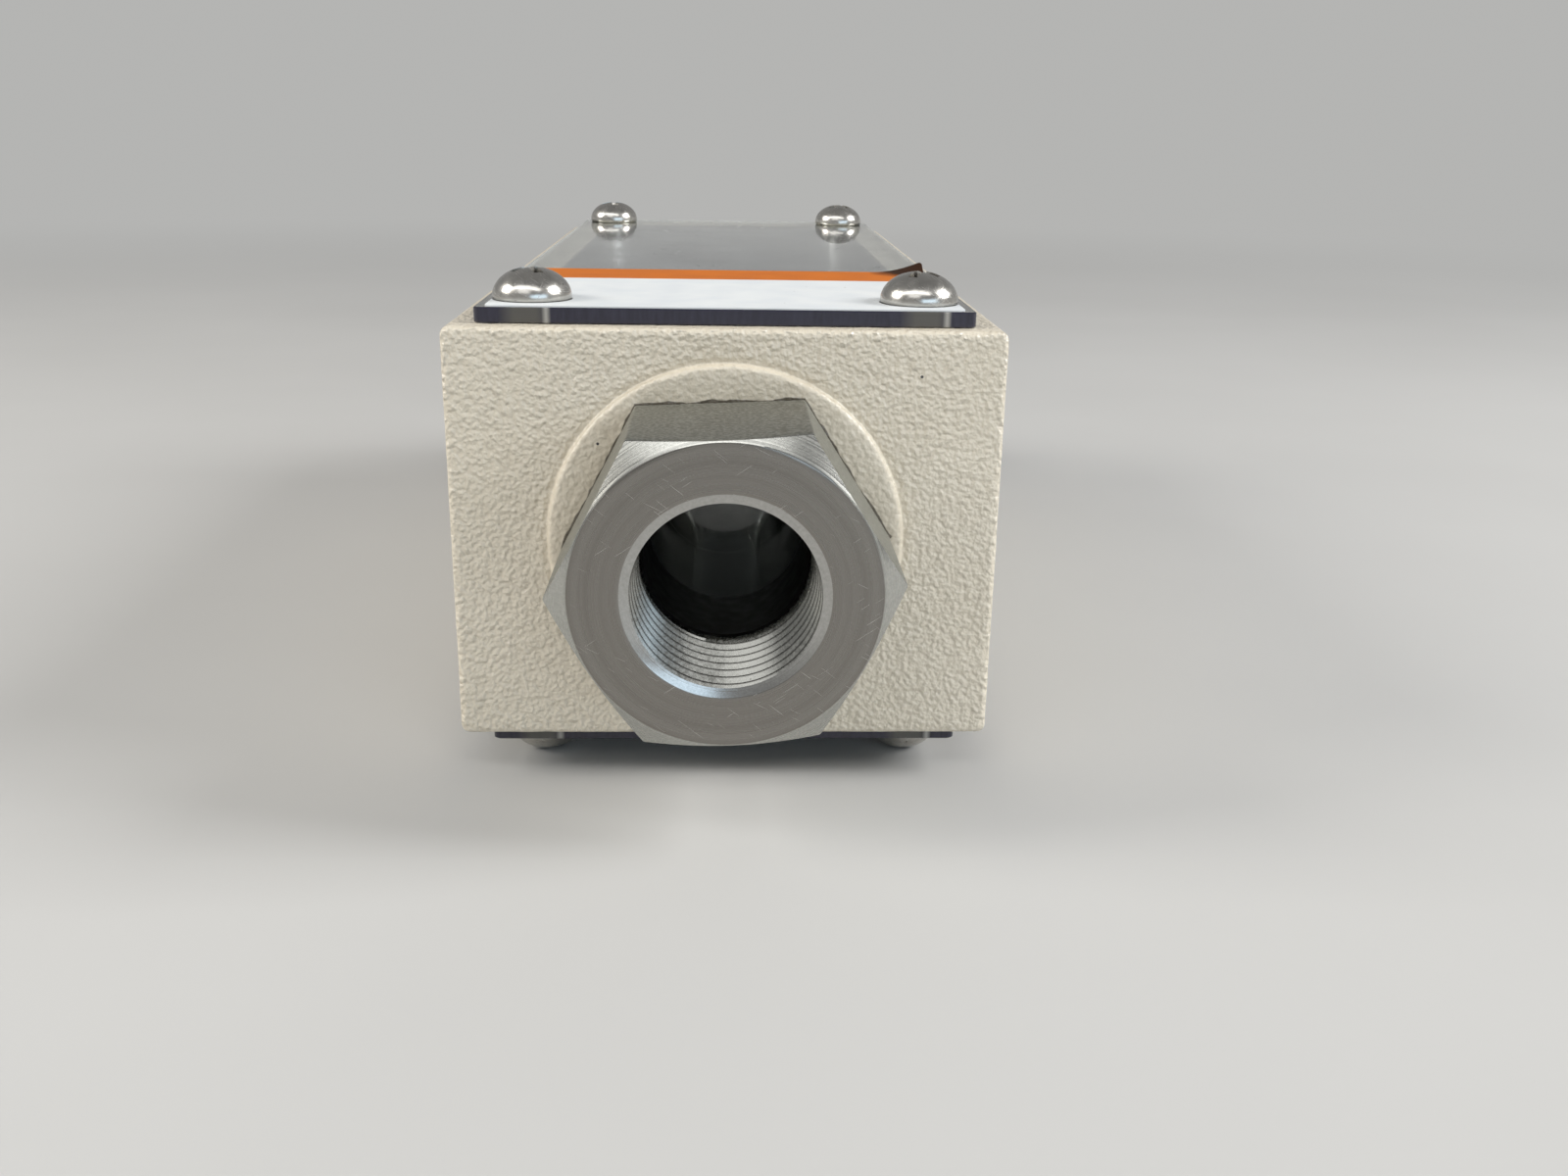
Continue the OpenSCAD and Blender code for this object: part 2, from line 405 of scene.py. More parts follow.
def speck_group():
    """Mask of small scattered specks, such as dust or pits; Share is how many cells hold one."""
    tree, given, end = mask_tree("specks", "Spacing", "Radius", "Share")
    scale = math_node("DIVIDE", 1.0, given["Spacing"])
    cells = place(tree, "ShaderNodeTexVoronoi", {"Vector": given["Vector"], "Scale": scale})
    pick = place(tree, "ShaderNodeSeparateColor", {0: cells.outputs["Color"]})
    chosen = math_node("LESS_THAN", pick.outputs[0], given["Share"])
    size = times(times(given["Radius"], scale), pick.outputs[1])
    near = math_node("LESS_THAN", cells.outputs["Distance"], size)
    tree.links.new(times(chosen, near), end.inputs["Mask"])
    return tree


def scratch_group():
    """Mask of fine short scratches that lie in three directions."""
    tree, given, end = mask_tree("fine_scratches", "Length", "Width", "Amount")
    along = math_node("DIVIDE", 1.0, given["Length"])
    across = math_node("DIVIDE", 1.0, given["Width"])
    stretch = place(tree, "ShaderNodeCombineXYZ", {0: across, 1: along, 2: along})
    rare_noise = 0.86
    edge = minus(rare_noise, given["Amount"])
    total = 0.0
    for turn in ((0.4, 0.9, 0.2), (1.3, 0.2, 1.1), (0.1, 2.2, 0.6)):
        turned = place(
            tree, "ShaderNodeVectorRotate",
            {"Vector": given["Vector"], "Rotation": turn}, rotation_type="EULER_XYZ",
        )
        drawn = vector_node("MULTIPLY", turned.outputs[0], stretch.outputs[0])
        line = math_node("GREATER_THAN", noise(drawn, 1.0, 0.0), edge)
        total = math_node("MAXIMUM", line, total)
    tree.links.new(total, end.inputs["Mask"])
    return tree


specks = speck_group()
fine_scratches = scratch_group()


def group_mask(group, vector, **values):
    inputs = {"Vector": vector, **{key.title(): value for key, value in values.items()}}
    return place(vector.id_data, "ShaderNodeGroup", inputs, node_tree=group).outputs["Mask"]


def bump(shader, height, depth, after=None):
    """Feeds a height of so many metres into the shader's normal."""
    node = place(shader.id_data, "ShaderNodeBump", {"Height": height, "Distance": depth})
    if after:
        shader.id_data.links.new(after.outputs[0], node.inputs["Normal"])
    feed(shader, Normal=node.outputs[0])
    return node


def axis_distance(spot):
    """Distance from the flow axis."""
    return vector_node("LENGTH", vector_node("MULTIPLY", spot, (1, 0, 1)))


hex_af = 31.75 * mm
hex_turns = (2.45, 11.0)


def hex_edge_distance(spot):
    """Distance outwards from the edge of the hexagon that sits on each boss."""
    ends = []
    for side, turn in zip((-1, 1), hex_turns):
        apothem = 0.0
        for flat in (30, 90, 150):
            angle = math.radians(turn + flat)
            normal = (-side * math.cos(angle), 0, math.sin(angle))
            reach = math_node("ABSOLUTE", vector_node("DOT_PRODUCT", spot, normal))
            apothem = math_node("MAXIMUM", reach, apothem)
        ends.append(minus(apothem, hex_af / 2))
    at_outlet = math_node("GREATER_THAN", parts_of(spot)["Y"], 0.0)
    return plus(times(at_outlet, ends[1]), times(minus(1.0, at_outlet), ends[0]))


def powder_coat():
    material, shader, spot = new_material("powder_coat", IOR=1.5, Specular_IOR_Level=0.85)
    tone = spread(noise(spot, 14 * mm))
    colour = blend(tone, (0.72, 0.65, 0.522), (0.76, 0.69, 0.562))
    lumps = place(
        material.node_tree, "ShaderNodeTexVoronoi",
        {"Vector": spot, "Scale": 1 / (0.72 * mm), "Smoothness": 0.6}, feature="SMOOTH_F1",
    )
    lumps = spread(lumps.outputs["Distance"], 0.75, 0.25, 0.1, 0.75)
    peel = plus(times(lumps, 0.5), times(noise(spot, 0.5 * mm, 1.0, Roughness=0.3), 0.5))
    # Painted shade: the low spots between the paint's lumps are painted darker and browner.
    colour = blend(spread(peel, 0.36, 0.0, 0.34, 0.5), colour, (0.60, 0.53, 0.41))
    beside_hex = hex_edge_distance(spot)
    # Painted shade and grime: the boss is painted darker and browner within a few millimetres of the hex.
    shade_and_grime = times(spread(beside_hex, 0.5, 0.0, 0.0, 3 * mm), noise(spot, 3 * mm))
    colour = blend(shade_and_grime, colour, (0.30, 0.24, 0.15))
    # A thin wavy dark line is painted on the boss along the hex's edge, partly a painted shadow of the
    # joint and partly a dark seam in the paint.
    wavy = spread(noise(spot, 2.6 * mm), -0.06 * mm, 0.4 * mm, 0.35, 0.75)
    seam = spread(minus(beside_hex, wavy), 0.9, 0.0, 0.0, 0.1 * mm)
    colour = blend(seam, colour, (0.07, 0.055, 0.035))
    pits = group_mask(specks, spot, spacing=6 * mm, radius=0.2 * mm, share=0.75)
    colour = blend(pits, colour, (0.03, 0.025, 0.02))
    feed(shader, Base_Color=colour, Roughness=spread(peel, 0.44, 0.26))
    thick_coat = spread(axis_distance(spot), 0.45, 1.0, boss_r + 0.1 * mm, boss_r + 0.7 * mm)
    coarse = bump(shader, times(peel, thick_coat), 0.62 * mm)
    bump(shader, noise(spot, 0.25 * mm, 1.0), 0.02 * mm, coarse)
    return material


def bare_metal():
    material, shader, spot = new_material("bare_metal", Metallic=1.0)
    tone = spread(noise(spot, 2 * mm, 3.0))
    marks = noise(spot, 0.5 * mm)
    colour = blend(tone, (0.30, 0.295, 0.28), (0.40, 0.39, 0.375))
    feed(shader, Base_Color=colour, Roughness=spread(marks, 0.35, 0.55))
    bump(shader, marks, 0.02 * mm)
    return material


def circle(radius, y, count):
    angles = np.arange(count) * 2 * math.pi / count
    return np.column_stack((radius * np.cos(angles), np.full(count, y), radius * np.sin(angles)))


def round_rect(half_x, half_y, radius, steps=8):
    """Points round a rectangle with round corners."""
    points = []
    for i, (x, y) in enumerate(quadrants):
        centre = (x * (half_x - radius), y * (half_y - radius))
        points += arc(centre, radius, 90 * i, 90 * (i + 1), steps)
    return points


def housing_end(side):
    """Rings from the middle of one boss out to the first ring of the housing's sides."""
    rim_r = 0.66 * mm
    root_r = 0.2 * mm
    face_steps = 24
    outer = housing_outline(end_edge_r)
    rays = outer / np.linalg.norm(outer, axis=1)[:, None]
    profile = [(r * mm, boss_h) for r in (2, 8, 13, 15.6, 16.8, 17.8, 18.6)]
    profile += arc((boss_r - rim_r, boss_h - rim_r), rim_r, 90, 0, 6)
    profile += arc((boss_r + root_r, root_r), root_r, 180, 270, 3)
    rings = [ring_at(rays * r, side * (end_face_y + out)) for r, out in profile]
    inner = rays * (boss_r + root_r)
    for step in range(1, face_steps + 1):
        share = step / face_steps
        rings.append(ring_at(inner * (1 - share) + outer * share, side * end_face_y))
    for inset, back in arc((end_edge_r, end_edge_r), end_edge_r, 270, 180, 5)[1:]:
        rings.append(ring_at(housing_outline(inset), side * (end_face_y - back)))
    return rings


def make_housing():
    side_rows = 166
    shape = bmesh.new()
    reach = end_face_y - end_edge_r
    sides = [
        ring_at(housing_outline(0), reach * (2 * row / side_rows - 1))
        for row in range(1, side_rows)
    ]
    skin(shape, housing_end(-1) + sides + housing_end(1)[::-1])
    paint = powder_coat()
    housing = new_piece("painted_housing", shape, paint)
    grow(housing, paint_relief(), lump_size=2.4 * mm, lump_height=0.13 * mm, seed=3.0, finish=paint)
    metal = bare_metal()
    cut(housing, viewing_opening(metal))
    cut(housing, bores(metal))
    smooth(housing.data, 50)
    return housing


def viewing_opening(metal):
    """Cutter for the long slot that the tube is seen through, flared at both faces."""
    half_x, half_y, corner, flare, over = 22 * mm, 56 * mm, 4 * mm, 0.6 * mm, 1 * mm
    shape = bmesh.new()
    rings = []
    for face in (-1, 1):
        for grow_by, z in ((flare + over, half_h + over), (0, half_h - flare))[::-face]:
            outline = round_rect(half_x + grow_by, half_y + grow_by, corner + grow_by)
            rings.append([(x, y, face * z) for x, y in outline])
    skin(shape, rings)
    return new_piece("opening_cutter", shape, metal)


def add_pin(shape, x, y, steps, count):
    """Adds a closed upright pin at a place, from steps of (radius, height)."""
    rings = [(z, circle(radius, 0, count)) for radius, z in steps]
    skin(shape, [[(x + across, y + along, z) for across, _, along in ring] for z, ring in rings])


def bores(metal):
    """Cutter for the two stepped end bores and the eight tapped holes."""
    spigot_hole_r, spigot_depth = 15 * mm, 14 * mm
    lip_r, lip_depth = 12.95 * mm, 18 * mm
    over = 3 * mm
    point_r, point_l = 0.3 * mm, 1.4 * mm
    shape = bmesh.new()
    for side in (-1, 1):
        steps = (
            (spigot_hole_r, -over), (spigot_hole_r, spigot_depth),
            (lip_r, spigot_depth), (lip_r, lip_depth),
        )
        skin(shape, [circle(r, side * (end_face_y - depth), 96) for r, depth in steps])
    for x, y in screw_places:
        for face in (-1, 1):
            steps = ((tapped_r, 1 * mm), (tapped_r, -tapped_depth), (point_r, -tapped_depth - point_l))
            add_pin(shape, x, y, [(r, face * (half_h + z)) for r, z in steps], 24)
    return new_piece("bore_cutter", shape, metal)


shield_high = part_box("top_shield")[1]
screw_low, screw_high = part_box("top_screw_4")
screw_x = (screw_low.x + screw_high.x) / 2
screw_y = (screw_low.y + screw_high.y) / 2
screw_places = [(x, y) for y in (-screw_y, screw_y) for x in (-screw_x, screw_x)]
tapped_r = 2.45 * mm
tapped_depth = 12.4 * mm
housing = make_housing()
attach(housing, "root")
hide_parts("housing")


# ---- End fittings ----
# Hex bar of stainless steel, one screwed into each end of the housing. The face and the
# corners are turned, the flats are as drawn, and the port has a taper pipe thread.
hex_edge_r = 0.35 * mm
hex_reach = -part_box("inlet_fitting")[0].y - end_face_y
hex_face_r = 15.72 * mm
chamfer_l = 1.86 * mm
mouth_r = 10.6 * mm
crest_r = 9.65 * mm
sink_depth = 0.3 * mm
port_depth = 14.25 * mm
pipe_pitch = 25.4 / 14 * mm
pipe_taper = 1 / 32
port_thread_depth = 1.15 * mm
groove_below_face = 7.77 * mm
spigot_pitch = 1.5 * mm
spigot_thread_depth = 0.85 * mm
passage_r = 9 * mm
shoulder_z = -7.2 * mm
nose_z = -10.45 * mm
seat_r = 12.85 * mm
spigot_r = 14.95 * mm


def wind_thread(shape, angles, low, high, pitch, start, shares, place_at, finish=0):
    """Winds a strip of faces up a right-hand helix, with points at some shares of each pitch."""
    first = math.floor((low - start) / pitch) - 2
    last = math.ceil((high - start) / pitch) + 1
    before = None
    for turn in range(first, last):
        for angle in angles:
            base = start + pitch * (turn + angle / (2 * math.pi))
            heights = [min(max(base + share * pitch, low), high) for share in shares]
            row = [shape.verts.new(place_at(angle, z)) for z in heights]
            if before:
                ends = heights + before[1]
                for j in range(len(row) - 1):
                    corners = {ends[j], ends[j + 1], ends[j + len(row)], ends[j + 1 + len(row)]}
                    if corners not in ({low}, {high}):
                        face = shape.faces.new((row[j], row[j + 1], before[0][j + 1], before[0][j]))
                        face.material_index = finish
            before = row, heights
    bmesh.ops.remove_doubles(shape, verts=shape.verts, dist=0.0005 * mm)


def thread_cutter():
    """Sinks a helical groove into a piece's surface of one radius, between two places along Y.

    Crest and Root are where the groove's flank begins and ends, from its middle, in pitches.
    """
    tree, given, end = geometry_tree(
        "cut_thread",
        "Radius", "Depth", "Pitch", "Start", "Crest", "Root", "Low", "High", "Run In", "Run Out", "Side",
    )
    same_radius = 0.3 * mm
    at = parts_of(place(tree, "GeometryNodeInputPosition").outputs[0])
    out = times(at["Y"], given["Side"])
    fade_in = math_node("DIVIDE", minus(out, given["Low"]), given["Run In"], clamp=True)
    fade_out = math_node("DIVIDE", minus(given["High"], out), given["Run Out"], clamp=True)
    across = times(times(at["X"], given["Side"]), -1.0)
    turns = math_node("DIVIDE", math_node("ARCTAN2", at["Z"], across), 2 * math.pi)
    pitches = math_node("DIVIDE", minus(out, given["Start"]), given["Pitch"])
    phase = math_node("FRACT", minus(pitches, turns))
    off_middle = math_node("ABSOLUTE", minus(phase, 0.5))
    flank = minus(given["Crest"], given["Root"])
    groove = math_node("DIVIDE", minus(given["Crest"], off_middle), flank, clamp=True)
    flat = place(tree, "ShaderNodeCombineXYZ", {0: at["X"], 2: at["Z"]}).outputs[0]
    off_radius = math_node("ABSOLUTE", minus(vector_node("LENGTH", flat), given["Radius"]))
    at_radius = math_node("LESS_THAN", off_radius, same_radius)
    fade = times(times(fade_in, fade_out), at_radius)
    root = times(groove, fade)
    crest = times(math_node("LESS_THAN", groove, 0.02), fade)
    threaded = math_node("GREATER_THAN", fade, 0.0)
    geometry = given["Geometry"]
    # The stored root and crest values let the thread finish paint shade into the roots and a dark
    # reflection onto the crests.
    for label, value, where in (
        ("root", root, at_radius), ("crest", crest, at_radius), ("threaded", threaded, True),
    ):
        geometry = place(
            tree, "GeometryNodeStoreNamedAttribute",
            {"Geometry": geometry, "Selection": where, "Name": label, "Value": value},
        ).outputs[0]
    offset = vector_node("SCALE", vector_node("NORMALIZE", flat), times(root, given["Depth"]))
    moved = set_position(tree, geometry, offset)
    marked = place(tree, "GeometryNodeInputNamedAttribute", {"Name": "threaded"}).outputs["Attribute"]
    selection = math_node("GREATER_THAN", marked, 0.5)
    close_tree(tree, end, moved, given["Finish"], selection)
    return tree


cut_thread = thread_cutter()


def tool_marks(position, pitch):
    """Noise along one line, as a cutting tool leaves it."""
    inputs = {"W": position, "Scale": 1 / pitch, "Detail": 2.0}
    return place(position.id_data, "ShaderNodeTexNoise", inputs, noise_dimensions="1D").outputs["Fac"]


def turned_steel():
    material, shader, spot = new_material("turned_steel", Metallic=1.0)
    marks = tool_marks(axis_distance(spot), 0.16 * mm)
    bands = tool_marks(axis_distance(spot), 1.1 * mm)
    colour = blend(spread(bands), (0.235, 0.22, 0.20), (0.265, 0.25, 0.228))
    scratches = group_mask(fine_scratches, spot, length=3.5 * mm, width=0.045 * mm, amount=0.007)
    colour = blend(scratches, colour, (0.58, 0.56, 0.53))
    feed(shader, Base_Color=colour, Roughness=plus(spread(marks, 0.2, 0.3), times(scratches, 0.15)))
    grooves = bump(shader, marks, 0.002 * mm)
    bump(shader, noise(spot, 3 * mm), 0.012 * mm, grooves)
    return material


def chamfer_steel(name, dark, light, smoothest):
    material, shader, spot = new_material(name, Metallic=1.0)
    marks = tool_marks(axis_distance(spot), 0.22 * mm)
    fleck = noise(spot, 0.3 * mm)
    colour = blend(spread(fleck), dark, light)
    feed(shader, Base_Color=colour, Roughness=spread(marks, smoothest, smoothest + 0.12))
    lines = bump(shader, marks, 0.006 * mm)
    bump(shader, fleck, 0.001 * mm, lines)
    return material


def drawn_steel():
    material, shader, spot = new_material("drawn_steel", Metallic=1.0)
    drawn = noise(vector_node("MULTIPLY", spot, (1, 0.12, 1)), 0.35 * mm, 3.0)
    mottle = noise(spot, 0.38 * mm, 4.0)
    colour = blend(spread(mottle, 0, 1, 0.36, 0.64), (0.20, 0.20, 0.175), (0.38, 0.38, 0.345))
    feed(shader, Base_Color=colour, Roughness=spread(mottle, 0.44, 0.60))
    grooves = bump(shader, drawn, 0.012 * mm)
    bump(shader, mottle, 0.01 * mm, grooves)
    return material


def stored(shader, name):
    """A value that the piece's mesh holds under a name."""
    return place(shader.id_data, "ShaderNodeAttribute", attribute_name=name).outputs["Fac"]


def threaded_steel():
    material, shader, spot = new_material("threaded_steel", Metallic=1.0)
    shade_and_grime = (0.05, 0.045, 0.04)
    mottle = noise(spot, 0.4 * mm, 3.0)
    colour = blend(spread(mottle), (0.34, 0.34, 0.315), (0.45, 0.45, 0.42))
    # Painted shade: the thread roots are painted dark, and the crests are painted dark as a reflection of
    # the dark bore.
    colour = blend(spread(stored(shader, "root"), 0, 0.85, 0.5, 1.0), colour, shade_and_grime)
    colour = blend(spread(stored(shader, "crest"), 0, 0.8, 0.8, 0.95), colour, shade_and_grime)
    pits = group_mask(specks, spot, spacing=2.4 * mm, radius=0.16 * mm, share=0.25)
    colour = blend(pits, colour, (0.08, 0.07, 0.06))
    feed(shader, Base_Color=colour, Roughness=spread(mottle, 0.20, 0.32))
    bump(shader, mottle, 0.006 * mm)
    return material


def mottled(name, size, detail, dark, light, smoothest, roughest, depth=0.0, **constants):
    """A plain finish that one noise mottles, in colour, gloss and height."""
    material, shader, spot = new_material(name, **constants)
    mottle = noise(spot, size, detail)
    colour = blend(spread(mottle), dark, light)
    feed(shader, Base_Color=colour, Roughness=spread(mottle, smoothest, roughest))
    if depth:
        bump(shader, mottle, depth)
    return material


def hex_columns(turn):
    """Direction and radius of each point round the rounded hexagon, turned by some degrees."""
    flat_steps, edge_steps = 26, 8
    apothem = hex_af / 2
    points = []
    for flat in range(6):
        out = turn + 60 * flat
        normal = Vector((math.cos(math.radians(out)), math.sin(math.radians(out))))
        along = Vector((-normal.y, normal.x))
        half = (apothem - hex_edge_r) * math.tan(math.pi / 6)
        for step in range(flat_steps):
            points.append(normal * apothem + along * half * (2 * step / flat_steps - 1))
        centre = normal * (apothem - hex_edge_r) + along * half
        points += arc(centre, hex_edge_r, out, out + 60, edge_steps)[:-1]
    points = np.array(points)
    radius = np.linalg.norm(points, axis=1)
    return points / radius[:, None], radius


def make_fitting(name, side, turn):
    rays, hex_r = hex_columns(turn)
    slope = (hex_af / 2 / math.cos(math.pi / 6) - hex_face_r) / chamfer_l
    cone_z = hex_reach - (hex_r - hex_face_r) / slope
    FACE, CONE, FLAT, BORE, THREAD, SINK = range(6)
    angles = np.unwrap(np.arctan2(rays[:, 1], rays[:, 0]))
    shape = bmesh.new()

    def turned(*rows):
        """Skins rows of (radius, height, finish) round the axis."""
        rings = []
        for radius, z, _ in rows:
            a, b = rays[:, 0] * radius, rays[:, 1] * radius
            rings.append(np.column_stack((-side * a, side * (end_face_y + z + 0 * hex_r), b)))
        skin(shape, rings, capped=False, finishes=[finish for _, _, finish in rows])

    def on_radius(radius_at):
        def place_at(angle, z):
            r = radius_at(z)
            return (-side * r * math.cos(angle), side * (end_face_y + z), r * math.sin(angle))
        return place_at

    top = hex_reach - sink_depth
    bottom = hex_reach - port_depth
    thread_top, thread_low = boss_h - 1 * mm, nose_z + 0.6 * mm
    back = boss_h + 0.35 * mm
    undercut = boss_h + 0.02 * mm
    first_groove = top - 0.08 * mm

    def port_r(z):
        return crest_r - (top - z) * pipe_taper

    rows = [
        (port_r(first_groove), first_groove, THREAD),
        (crest_r, top, SINK),
        (mouth_r - 0.08 * mm, hex_reach - 0.05 * mm, SINK),
        (mouth_r, hex_reach - 0.02 * mm, FACE),
        (mouth_r + 0.05 * mm, hex_reach, FACE),
    ]
    rows += [(mouth_r + (hex_face_r - mouth_r) * step / 12, hex_reach, FACE) for step in range(1, 12)]
    rows.append((hex_face_r - 0.06 * mm, hex_reach, FACE))
    for share in (0.03, 0.2, 0.4, 0.6, 0.8, 0.97):
        radius = hex_face_r + (hex_r - hex_face_r) * share
        rows.append((radius, hex_reach + (cone_z - hex_reach) * share, CONE))
    rows.append((hex_r, cone_z - 0.12 * mm, FLAT))
    rows += [(hex_r, cone_z + (back - cone_z) * share, FLAT) for share in (0.1, 0.3, 0.5, 0.7, 0.9, 1.0)]
    rows += [
        # The hex's back bevel takes the near-black bore finish, a painted shadow line where the hex seats
        # on the boss.
        (hex_r - 0.1 * mm, back - 0.15 * mm, BORE),
        (hex_r - 0.5 * mm, undercut, FLAT),
        (spigot_r + 0.2 * mm, undercut, BORE),
        (spigot_r, boss_h - 0.3 * mm, BORE),
        (spigot_r, thread_top, BORE),
    ]
    turned(*rows)
    turned(
        (spigot_r, thread_low, BORE),
        (spigot_r - 0.5 * mm, nose_z, BORE),
        (seat_r + 1.3 * mm, nose_z, BORE),
        (seat_r, nose_z + 1.3 * mm, BORE),
        (seat_r, shoulder_z, BORE),
        (passage_r + 0.3 * mm, shoulder_z, BORE),
        (passage_r, shoulder_z + 0.3 * mm, BORE),
        (passage_r, 0.0, BORE),
        (passage_r, bottom - 0.3 * mm, BORE),
        (port_r(bottom), bottom, BORE),
    )
    port_root, port_crest = 0.045, 0.455
    spigot_root, spigot_crest = 0.06, 0.44
    port_shares = (0, port_root, 0.25, port_crest, 1 - port_crest, 0.75, 1 - port_root, 1)
    spigot_shares = (0, spigot_root, spigot_crest, 1 - spigot_crest, 1 - spigot_root, 1)
    port_start = hex_reach - groove_below_face - pipe_pitch / 4
    wind_thread(
        shape, angles, bottom, first_groove, pipe_pitch, port_start, port_shares, on_radius(port_r), THREAD,
    )
    wind_thread(
        shape, angles, thread_low, thread_top, spigot_pitch, 0.0, spigot_shares,
        on_radius(lambda z: spigot_r), BORE,
    )
    fitting = new_piece(name, shape, *fitting_finishes)
    grow(
        fitting, cut_thread, radius=crest_r - 0.2 * mm, depth=port_thread_depth, pitch=pipe_pitch,
        start=end_face_y + port_start, crest=port_crest, root=port_root,
        low=end_face_y + bottom, high=end_face_y + top, run_in=pipe_pitch * 0.7, run_out=0.01 * mm,
        side=float(side), finish=fitting_finishes[THREAD],
    )
    grow(
        fitting, cut_thread, radius=spigot_r, depth=-spigot_thread_depth, pitch=spigot_pitch,
        start=end_face_y, crest=spigot_crest, root=spigot_root,
        low=end_face_y + thread_low, high=end_face_y + thread_top, run_in=spigot_pitch,
        run_out=spigot_pitch, side=float(side), finish=fitting_finishes[BORE],
    )
    smooth(fitting.data, 24)
    return fitting


fitting_finishes = [
    turned_steel(),
    chamfer_steel("chamfer_steel", (0.36, 0.36, 0.335), (0.43, 0.43, 0.40), 0.20),
    drawn_steel(),
    # The bore finish is near black, a painted shade for the deep, unlit passage beyond the port thread.
    mottled(
        "stained_bore", 1.4 * mm, 3.0, (0.012, 0.010, 0.008), (0.03, 0.026, 0.022), 0.4, 0.6,
        0.01 * mm, Metallic=0.7,
    ),
    threaded_steel(),
    chamfer_steel("countersunk_steel", (0.40, 0.395, 0.375), (0.47, 0.465, 0.445), 0.12),
]
for name, node, side, turn in (
    ("hex_fitting_inlet", "inlet_fitting", -1, hex_turns[0]),
    ("hex_fitting_outlet", "outlet_fitting", 1, hex_turns[1]),
):
    fitting = make_fitting(name, side, turn + 30)
    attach(fitting, "root")
    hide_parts(node)


# ---- Glass tube and its seals ----
# Glass tube with fire-polished ends, tinted dark grey; the tint is painted shade that keeps
# the inside of the housing dark. At each end a soft white washer cushions it, and the fitting
# squeezes a black rubber ring round it against a flat washer.
tube_low, tube_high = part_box("glass_tube")
tube_bore_r = 10.32 * mm


def lathe(name, profile, count, material):
    """Turns a closed profile of (radius, y) points round the flow axis."""
    shape = bmesh.new()
    skin(shape, [circle(radius, y, count) for radius, y in profile], joined=True)
    return new_piece(name, shape, material)


def round_corners(low_r, high_r, low_y, high_y, radius, steps):
    """Closed rectangular profile with round corners, from one radius and height to another."""
    corners = round_rect((high_r - low_r) / 2, (high_y - low_y) / 2, radius, steps)
    return [(r + (low_r + high_r) / 2, y + (low_y + high_y) / 2) for r, y in corners]


def pass_light(shader, tint):
    """Lets lamps shine through a clear material, so that its shadow is only a tint."""
    ray = place(shader.id_data, "ShaderNodeLightPath").outputs["Is Shadow Ray"]
    mix_shaders(ray, shader, place(shader.id_data, "ShaderNodeBsdfTransparent", {0: tint}))


def shade_tinted_glass():
    # The dark grey tint is painted shade that keeps the housing's inside dark.
    material, shader, spot = new_material(
        "clear_glass", Base_Color=(0.33, 0.355, 0.33, 1), Transmission_Weight=1.0, IOR=1.474,
    )
    feed(shader, Roughness=spread(noise(spot, 6 * mm, 3.0), 0.0, 0.06))
    pass_light(shader, (0.55, 0.58, 0.55, 1))
    return material


tube_profile = round_corners(tube_bore_r, tube_high.x, tube_low.y, tube_high.y, 0.6 * mm, 6)
tube = lathe("sight_tube", tube_profile, 128, shade_tinted_glass())
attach(tube, "root")
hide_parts("glass_tube")

rubber = mottled(
    "black_rubber", 0.5 * mm, 2.0, (0.0174, 0.0174, 0.0174), (0.0246, 0.0246, 0.0246), 0.42, 0.6,
    0.01 * mm, IOR=1.52,
)
seal_plastic = mottled(
    "white_seal_plastic", 1.5 * mm, 2.0, (0.73, 0.72, 0.69), (0.77, 0.76, 0.73), 0.4, 0.55,
    IOR=1.38, Subsurface_Weight=0.1, Subsurface_Radius=(1 * mm, 1 * mm, 1 * mm),
)
for end in ("inlet", "outlet"):
    ring_low, ring_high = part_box(f"{end}_tube_ring")
    section = (ring_high.y - ring_low.y) / 2
    middle_r = ring_high.x - section
    middle_y = (ring_high.y + ring_low.y) / 2
    profile = arc((middle_r, middle_y), section, 0, 360, 20)[:-1]
    ring = lathe(f"rubber_ring_{end}", profile, 96, rubber)
    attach(ring, "root")
    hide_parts(f"{end}_tube_ring")
    for label, node, inner_r in (
        ("cushion_washer", f"{end}_cushion", tube_bore_r),
        ("backing_washer", f"{end}_ring_washer", seat_r),
    ):
        low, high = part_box(node)
        profile = round_corners(inner_r, high.x, low.y, high.y, 0.12 * mm, 3)
        washer = lathe(f"{label}_{end}", profile, 96, seal_plastic)
        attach(washer, "root")
        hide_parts(node)


# ---- Shields ----
# Clear plastic sheet over each viewing opening, cut with a fine saw and drilled for four
# screws. Light is trapped inside it, so its cut edges look dark blue.
clearance_r = 2.65 * mm
shield_corner_r = 0.8 * mm
shield_bevel = 0.12 * mm


def clear_sheet():
    material, shader, spot = new_material(
        "clear_sheet", Base_Color=(0.90, 0.93, 0.94, 1), Transmission_Weight=1.0, IOR=1.58,
    )
    haze = noise(spot, 12 * mm, 4.0)
    scratches = group_mask(fine_scratches, spot, length=5 * mm, width=0.12 * mm, amount=0.02)
    feed(shader, Roughness=plus(spread(haze, 0.02, 0.09), times(scratches, 0.2)))
    pass_light(shader, (0.72, 0.75, 0.76, 1))
    return material


